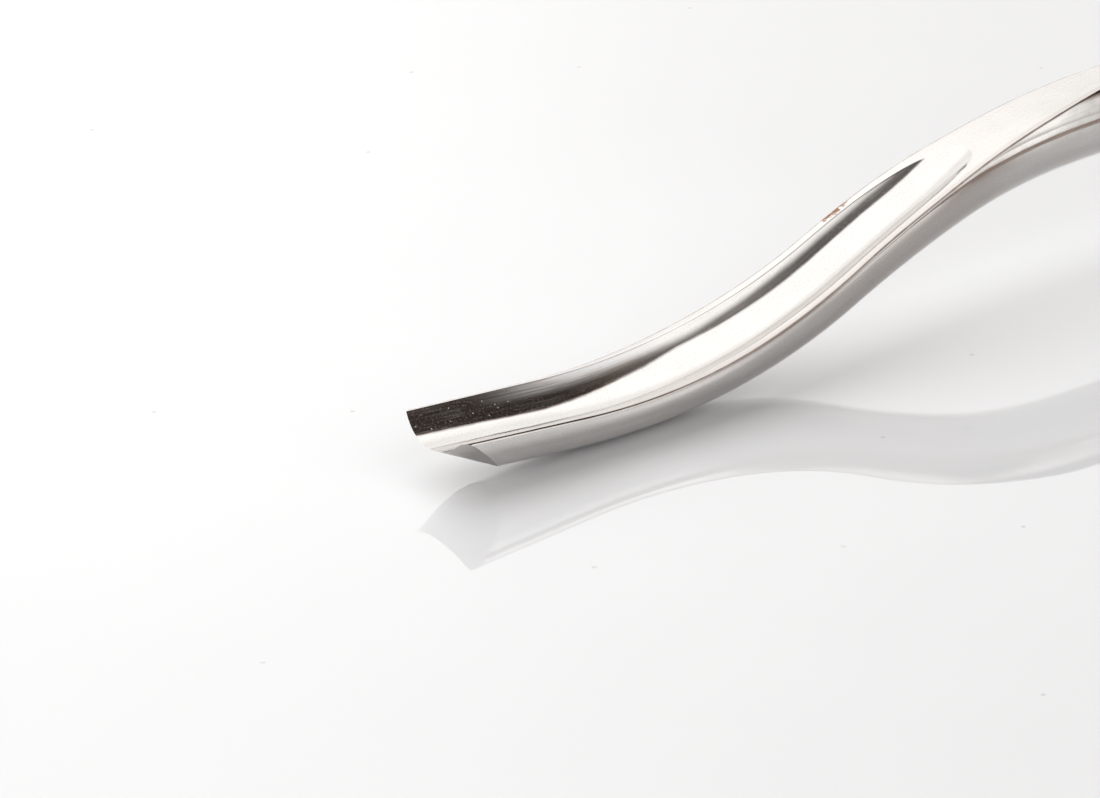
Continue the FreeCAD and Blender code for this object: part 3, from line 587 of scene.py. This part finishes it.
def polished_steel(graph, pins):
    """Hand-polished blade: lengthwise streaks, slow waves, rim tarnish with painted light along the
    near rim, a painted darker reflection on the outer wall, a painted reflection inside the far
    rim, a stain and dust.
    """
    along, around, rim = graph.grain()
    x, y, _ = graph.tool_place()
    spot = graph.join(along, around)
    streak = graph.streaks((along, around), (0.22, 9.0), 4.0, 0.62)
    hair = graph.streaks((along, around), (0.5, 34.0), 2.0, 0.6)
    wave = graph.streaks((along, around), (0.55, 0.8), 2.0, 0.45)
    cloud = graph.noise(spot, 0.55, 3.0, 0.55)
    tone = graph.cloudy(cloud, POLISHED_LOW, POLISHED_HIGH)
    tone = graph.blend(graph.smooth(streak, 0.62, 0.80, 0.0, 0.15), tone, STREAK_TONE)
    # rim tarnish, plus a painted dark line, painted shade and painted highlight along the near rim
    tone = rim_tarnish_and_painted_light(graph, tone, spot, along, rim, y)
    # painted darker reflection on the outer wall before the shank
    painted_dark_outside = graph.times(graph.smooth(rim, 0.15, 0.35), graph.smooth(along, 12.0, 20.0),
                          graph.smooth(along, 29.0, 24.5))
    tone = graph.blend(graph.times(painted_dark_outside, 0.8), tone, OUTSIDE_PAINTED_DARK_REFLECTION)
    # rust stain on the far rim
    blot = graph.noise(graph.join(along, around, 3.0), 4.6, 3.0, 0.6)
    near = graph.times(graph.bell(x, STAIN_X, STAIN_X_WIDTH),
                       graph.bell(y, STAIN_Y, STAIN_Y_WIDTH), graph.smooth(rim, 0.40, 0.15))
    stain = graph.smooth(graph.times(near, blot), 0.30, 0.40)
    rust = graph.blend(graph.smooth(blot, 0.45, 0.65), RUST_DARK, RUST_LIGHT)
    tone = graph.blend(stain, tone, rust)
    # dark nick at the scoop's far end
    nick = graph.times(
        graph.bell(graph.math("MULTIPLY_ADD", y, NICK_SLANT, x), NICK_X, NICK_X_WIDTH),
        graph.bell(y, NICK_Y, NICK_Y_WIDTH))
    tone = graph.blend(graph.smooth(nick, 0.1, 0.5), tone, NICK_TONE)
    # painted reflection of light inside the far rim: a light, less metallic patch
    painted_reflection = graph.times(graph.bell(x, PAINTED_REFLECTION_X, PAINTED_REFLECTION_X_WIDTH),
                          graph.bell(y, PAINTED_REFLECTION_Y, PAINTED_REFLECTION_Y_WIDTH),
                          graph.smooth(streak, 0.30, 0.62, 0.45, 1.0),
                          graph.smooth(rim, 0.05, -0.10, 0.0, 0.9))
    tone = graph.blend(painted_reflection, tone, FAR_WALL_PAINTED_REFLECTION)
    # dust in the tip
    dust_place = graph.join(graph.math("ADD", along, 3.1), around)
    dust = graph.times(graph.dots(dust_place, 1.9, 0.07, 0.34, "2D"),
                       graph.smooth(along, 8.0, 4.0, 0.0, 0.7), graph.smooth(y, 0.6, 0.9))
    graph.put(pins["Base Color"], graph.blend(dust, tone, DUST_TONE))
    # matt marks, polish haze in streaks and patches, fine pits all over, and the painted reflection
    # patch
    marks = graph.most(stain, dust)
    haze = graph.times(graph.smooth(streak, 0.44, 0.72), graph.smooth(cloud, 0.36, 0.62, 0.15, 1.0))
    pits = graph.smooth(graph.noise(spot, 10.0, 2.0, 0.7), 0.5, 0.72, 0.0, 0.18)
    matt = graph.most(graph.times(marks, 0.8), graph.times(haze, 0.13), pits, painted_reflection)
    graph.put(pins["Metallic"], graph.math("SUBTRACT", 1.0, matt))
    # finish
    rough = graph.smooth(streak, 0.42, 0.78, 0.035, 0.17)
    rough = graph.math("ADD", rough, graph.smooth(hair, 0.5, 0.8, 0.0, 0.05))
    rough = graph.math("ADD", rough, graph.smooth(cloud, 0.5, 0.8, 0.0, 0.03))
    graph.put(pins["Roughness"], graph.most(rough, graph.times(marks, 0.6)))
    slow = graph.bump(wave, 9e-6)
    fine = graph.bump(streak, 6e-7, slow)
    graph.put(pins["Normal"], graph.bump(hair, 1.2e-7, fine))


GROUND_LOW = colour(0.345, 0.328, 0.312)
GROUND_HIGH = colour(0.415, 0.397, 0.381)
GROUND_LINE = colour(0.33, 0.312, 0.298)
GROUND_PAINTED_REFLECTION = colour(0.56, 0.535, 0.515)


def ground_steel(graph, pins):
    """Bevel as it left the stone: matte, with fine lines towards the edge, and a painted reflection
    of the light in front that makes its front end lighter.
    """
    x, y, z = graph.tool_place()
    lines = graph.streaks((y, x), (26.0, 1.6), 3.0, 0.6)
    cloud = graph.noise(graph.join(x, y, z), 1.3, 3.0, 0.55)
    tone = graph.cloudy(cloud, GROUND_LOW, GROUND_HIGH)
    tone = graph.blend(graph.smooth(lines, 0.55, 0.8, 0.0, 0.5), tone, GROUND_LINE)
    # painted reflection: the bevel is lighter towards its front end
    tone = graph.blend(graph.smooth(x, 0.5, -0.3, 0.0, 0.95), tone, GROUND_PAINTED_REFLECTION)
    graph.put(pins["Base Color"], tone)
    graph.put(pins["Metallic"], 1.0)
    graph.put(pins["Roughness"], graph.smooth(lines, 0.3, 0.75, 0.30, 0.46))
    graph.put(pins["Normal"], graph.bump(lines, 9e-7))


SHEET_PAINTED_LIGHT_LEFT = 0.835
SHEET_PAINTED_SHADE_RIGHT = 0.70
SHEET_GREEN = 1.014
SHEET_BLUE = 1.036
SHEET_IOR = 1.87
SHEET_DUST = colour(0.36, 0.36, 0.38)


def floor_look(graph, pins):
    """Glossy white acrylic sheet with painted light falloff, darker to the right, towards the front
    and in the far right corner, with a little dust.
    """
    x, y, _ = graph.tool_place()
    spot = graph.join(x, y)
    # millimetres across and away as seen from the front of the stage
    side, ahead = math.sin(AZIMUTH), math.cos(AZIMUTH)
    across = graph.math("MULTIPLY_ADD", x, ahead, graph.times(y, -side))
    away = graph.math("MULTIPLY_ADD", x, side, graph.times(y, ahead))
    # painted shade in the far right corner
    corner = graph.times(graph.smooth(away, 8.0, 40.0), graph.smooth(across, -8.0, 20.0))
    cloud = graph.noise(spot, 0.09, 3.0, 0.5)
    # painted light falloff in the sheet's colour: darker to the right and towards the front
    level = graph.times(graph.smooth(across, -20.0, 34.0, SHEET_PAINTED_LIGHT_LEFT, SHEET_PAINTED_SHADE_RIGHT),
                        graph.smooth(away, -24.0, 12.0, 0.955, 1.025),
                        graph.smooth(corner, 0.0, 1.0, 1.0, 0.95),
                        graph.smooth(cloud, 0.3, 0.7, 0.995, 1.005))
    white = graph.node("CombineColor")
    graph.put(white.inputs[0], level)
    graph.put(white.inputs[1], graph.times(level, SHEET_GREEN))
    graph.put(white.inputs[2], graph.times(level, SHEET_BLUE))
    dust = graph.dots(spot, 0.14, 0.018, 0.3, "2D")
    fuzz = graph.smooth(graph.noise(spot, 6.0, 3.0), 0.35, 0.6, 0.1, 0.45)
    tone = graph.blend(graph.times(dust, fuzz), white.outputs[0], SHEET_DUST)
    graph.put(pins["Base Color"], tone)
    graph.put(pins["IOR"], SHEET_IOR)
    graph.put(pins["Roughness"], graph.smooth(cloud, 0.3, 0.7, 0.012, 0.028))


def edge_wear(graph, radius):
    """About 1 along outer edges and 0 elsewhere; radius in millimetres."""
    made = graph.node("Bevel", samples=6)
    made.inputs["Radius"].default_value = radius * MM
    product = graph.node("VectorMath", operation="DOT_PRODUCT")
    graph.put(product.inputs[0], made.outputs[0])
    graph.put(product.inputs[1], graph.node("NewGeometry").outputs["Normal"])
    ragged = graph.noise(graph.join(*graph.tool_place()), 2.4, 3.0)
    return graph.times(graph.smooth(product.outputs["Value"], 0.995, 0.93),
                       graph.smooth(ragged, 0.3, 0.65, 0.35, 1.0))


HANDLE_LOW = colour(0.57, 0.56, 0.55)
HANDLE_HIGH = colour(0.61, 0.598, 0.585)
HANDLE_LINE = colour(0.49, 0.48, 0.47)
HANDLE_EDGE = colour(0.75, 0.735, 0.72)


def turned_steel(graph, pins):
    """Satin handle steel with fine turning lines, handling marks and bright worn edges."""
    x, y, z = graph.tool_place()
    turning = graph.streaks((x, y, z), (14.0, 0.15, 0.15), 3.0, 0.6)
    hand = graph.noise(graph.join(graph.times(x, 0.5), y, z), 0.35, 4.0, 0.6)
    worn = edge_wear(graph, 0.35)
    tone = graph.cloudy(hand, HANDLE_LOW, HANDLE_HIGH)
    tone = graph.blend(graph.smooth(turning, 0.55, 0.8, 0.0, 0.3), tone, HANDLE_LINE)
    graph.put(pins["Base Color"], graph.blend(worn, tone, HANDLE_EDGE))
    graph.put(pins["Metallic"], 1.0)
    rough = graph.smooth(hand, 0.3, 0.8, 0.27, 0.33)
    rough = graph.math("MULTIPLY_ADD", turning, 0.06, rough)
    graph.put(pins["Roughness"], graph.math("SUBTRACT", rough, graph.times(worn, 0.14)))
    graph.put(pins["Normal"], graph.bump(turning, 7e-7))


FASTENER_LOW = colour(0.50, 0.485, 0.465)
FASTENER_HIGH = colour(0.58, 0.57, 0.555)


def fastener_steel(graph, pins):
    """Turned stainless fasteners: tighter lines, a little oil tone."""
    x, y, z = graph.tool_place()
    lines = graph.noise(graph.join(graph.times(x, 20.0), y, z), 1.0, 3.0, 0.6)
    cloud = graph.noise(graph.join(x, y, z), 0.8, 3.0, 0.6)
    graph.put(pins["Base Color"], graph.cloudy(cloud, FASTENER_LOW, FASTENER_HIGH))
    graph.put(pins["Metallic"], 1.0)
    graph.put(pins["Roughness"], graph.smooth(lines, 0.3, 0.75, 0.22, 0.38))
    graph.put(pins["Normal"], graph.bump(lines, 2e-6))


LINT = colour(0.55, 0.54, 0.52)


def moulded(dark, light, rough):
    """Moulded silicone or rubber: fine skin, faint bloom, lint and polished high spots."""
    def build(graph, pins):
        spot = graph.join(*graph.tool_place())
        skin = graph.noise(spot, 9.0, 4.0, 0.6)
        bloom = graph.noise(spot, 0.7, 4.0, 0.6)
        tone = graph.blend(graph.smooth(bloom, 0.3, 0.75), dark, light)
        lint = graph.dots(spot, 1.1, 0.05, 0.2)
        graph.put(pins["Base Color"], graph.blend(graph.times(lint, 0.6), tone, LINT))
        graph.put(pins["Roughness"], graph.smooth(bloom, 0.3, 0.7, rough - 0.07, rough + 0.08))
        graph.put(pins["Normal"], graph.bump(skin, 8e-6))
    return build


# material slot: builder
FINISHES = {
    "handle_steel": turned_steel,
    "fastener_steel": fastener_steel,
    "grip_silicone": moulded(colour(0.020, 0.022, 0.026), colour(0.034, 0.036, 0.041), 0.55),
    "colour_silicone": moulded(colour(0.012, 0.085, 0.36), colour(0.02, 0.12, 0.45), 0.48),
    "seal_rubber": moulded(colour(0.012, 0.012, 0.012), colour(0.024, 0.023, 0.022), 0.5),
}


# ------------------------------------------------------------------- light
# The studio is a function of the direction (x, y, z): a light behind, one in front
# and a dark gap between them, which the polished steel mirrors.

BACK_LIGHT = 1.74
BACK_LOW_LIGHT = 1.38
FRONT_LIGHT = 1.6
RIGHT_GAP = 0.045
MIDDLE_GAP = 0.28
LEFT_GAP = 0.15
LOW_GAP = 0.28
SEEN_LIGHT = 0.95
WHITE_TINT = colour(1.0, 0.985, 0.97)
GAP_TINT = colour(1.0, 0.93, 0.89)
RIGHT_TINT = colour(1.0, 0.74, 0.61)
# y of the two lights' edges, as lines over x
BACK_EDGE_SLOPE, BACK_EDGE_Y, BACK_EDGE_LEAST = 1.75, -0.62, -0.18
FRONT_EDGE_SLOPE, FRONT_EDGE_Y, FRONT_EDGE_MOST_X = 0.9, -0.57, 0.22


def front_light(graph, x, y, z):
    """1 where the front light is seen: a low strip, an upper part and all of the left."""
    leftward = graph.math("MINIMUM", graph.most(x, 0.0), FRONT_EDGE_MOST_X)
    edge = graph.math("MULTIPLY_ADD", leftward, FRONT_EDGE_SLOPE, FRONT_EDGE_Y)
    whole = graph.times(graph.smooth(graph.math("SUBTRACT", edge, y), -0.15, 0.15),
                        graph.smooth(x, 0.625, 0.51))
    over_horizon = graph.smooth(z, 0.05, 0.11)
    strip = graph.times(over_horizon, graph.smooth(z, 0.34, 0.26))
    left = graph.times(graph.smooth(x, 0.35, 0.2), over_horizon)
    upper = graph.smooth(y, -0.86, -0.72)
    return graph.times(whole, graph.most(left, strip, upper))


def dark_gap(graph, x, z):
    """Level of the gap between the lights, darkest at the right and higher up."""
    gap = graph.math("MINIMUM", graph.smooth(x, 0.55, 0.18, RIGHT_GAP, MIDDLE_GAP),
                     graph.smooth(x, -0.20, 0.08, LEFT_GAP, MIDDLE_GAP))
    return graph.most(gap, graph.smooth(z, 0.45, 0.25, 0.0, LOW_GAP))


def add_world():
    """Bright studio overhead and behind, with a dark gap towards the front."""
    world = bpy.data.worlds.new("studio")
    world.use_nodes = True
    bpy.context.scene.world = world
    graph = Graph(world.node_tree)
    x, y, z = graph.split(graph.node("TexCoord").outputs["Generated"])
    slanted = graph.math("MULTIPLY_ADD", x, BACK_EDGE_SLOPE, BACK_EDGE_Y)
    edge = graph.most(slanted, BACK_EDGE_LEAST)
    behind = graph.smooth(graph.math("SUBTRACT", y, edge), -0.05, 0.05)
    back = graph.smooth(z, 0.46, 0.70, BACK_LOW_LIGHT, BACK_LIGHT)
    level = graph.between(dark_gap(graph, x, z), FRONT_LIGHT, front_light(graph, x, y, z))
    level = graph.between(level, back, behind)
    tint = graph.blend(graph.smooth(x, 0.25, 0.5), GAP_TINT, RIGHT_TINT)
    tint = graph.blend(graph.smooth(level, 0.2, 1.0), tint, WHITE_TINT)
    # what is seen directly, past the sheet, is plain
    direct = graph.node("LightPath").outputs["Is Camera Ray"]
    sky = graph.node("Background")
    graph.put(sky.inputs["Color"], tint)
    graph.put(sky.inputs["Strength"], graph.between(level, SEEN_LIGHT, direct))
    output = graph.node("OutputWorld")
    world.node_tree.links.new(sky.outputs[0], output.inputs["Surface"])


# ------------------------------------------------------------------- scene

FLOOR_SIDE = 4


def add_floor():
    bpy.ops.mesh.primitive_plane_add(size=FLOOR_SIDE, location=(0, 0, 0))
    floor = bpy.context.object
    floor.name = "floor"
    floor.data.materials.append(material("acrylic_sheet", floor_look))


def finish_of(name):
    """Material slot of a CAD node, as in the record."""
    if name.startswith("grip_ring"):
        return "grip_silicone"
    if name.endswith("_seal"):
        return "seal_rubber"
    if name.startswith("tang_"):
        return "fastener_steel"
    return "colour_silicone" if name == "colour_ring" else "handle_steel"


def dress_nodes():
    """Gives each CAD node, apart from the replaced blade, its finish."""
    made = {slot: material(slot, build) for slot, build in FINISHES.items()}
    for name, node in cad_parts.items():
        if name != "blade":
            node.data.materials.clear()
            node.data.materials.append(made[finish_of(name)])


add_camera()
add_world()
add_floor()
dress_nodes()
build_blade(material("polished_steel", polished_steel), material("ground_steel", ground_steel))
bpy.context.scene.view_settings.view_transform = "Standard"
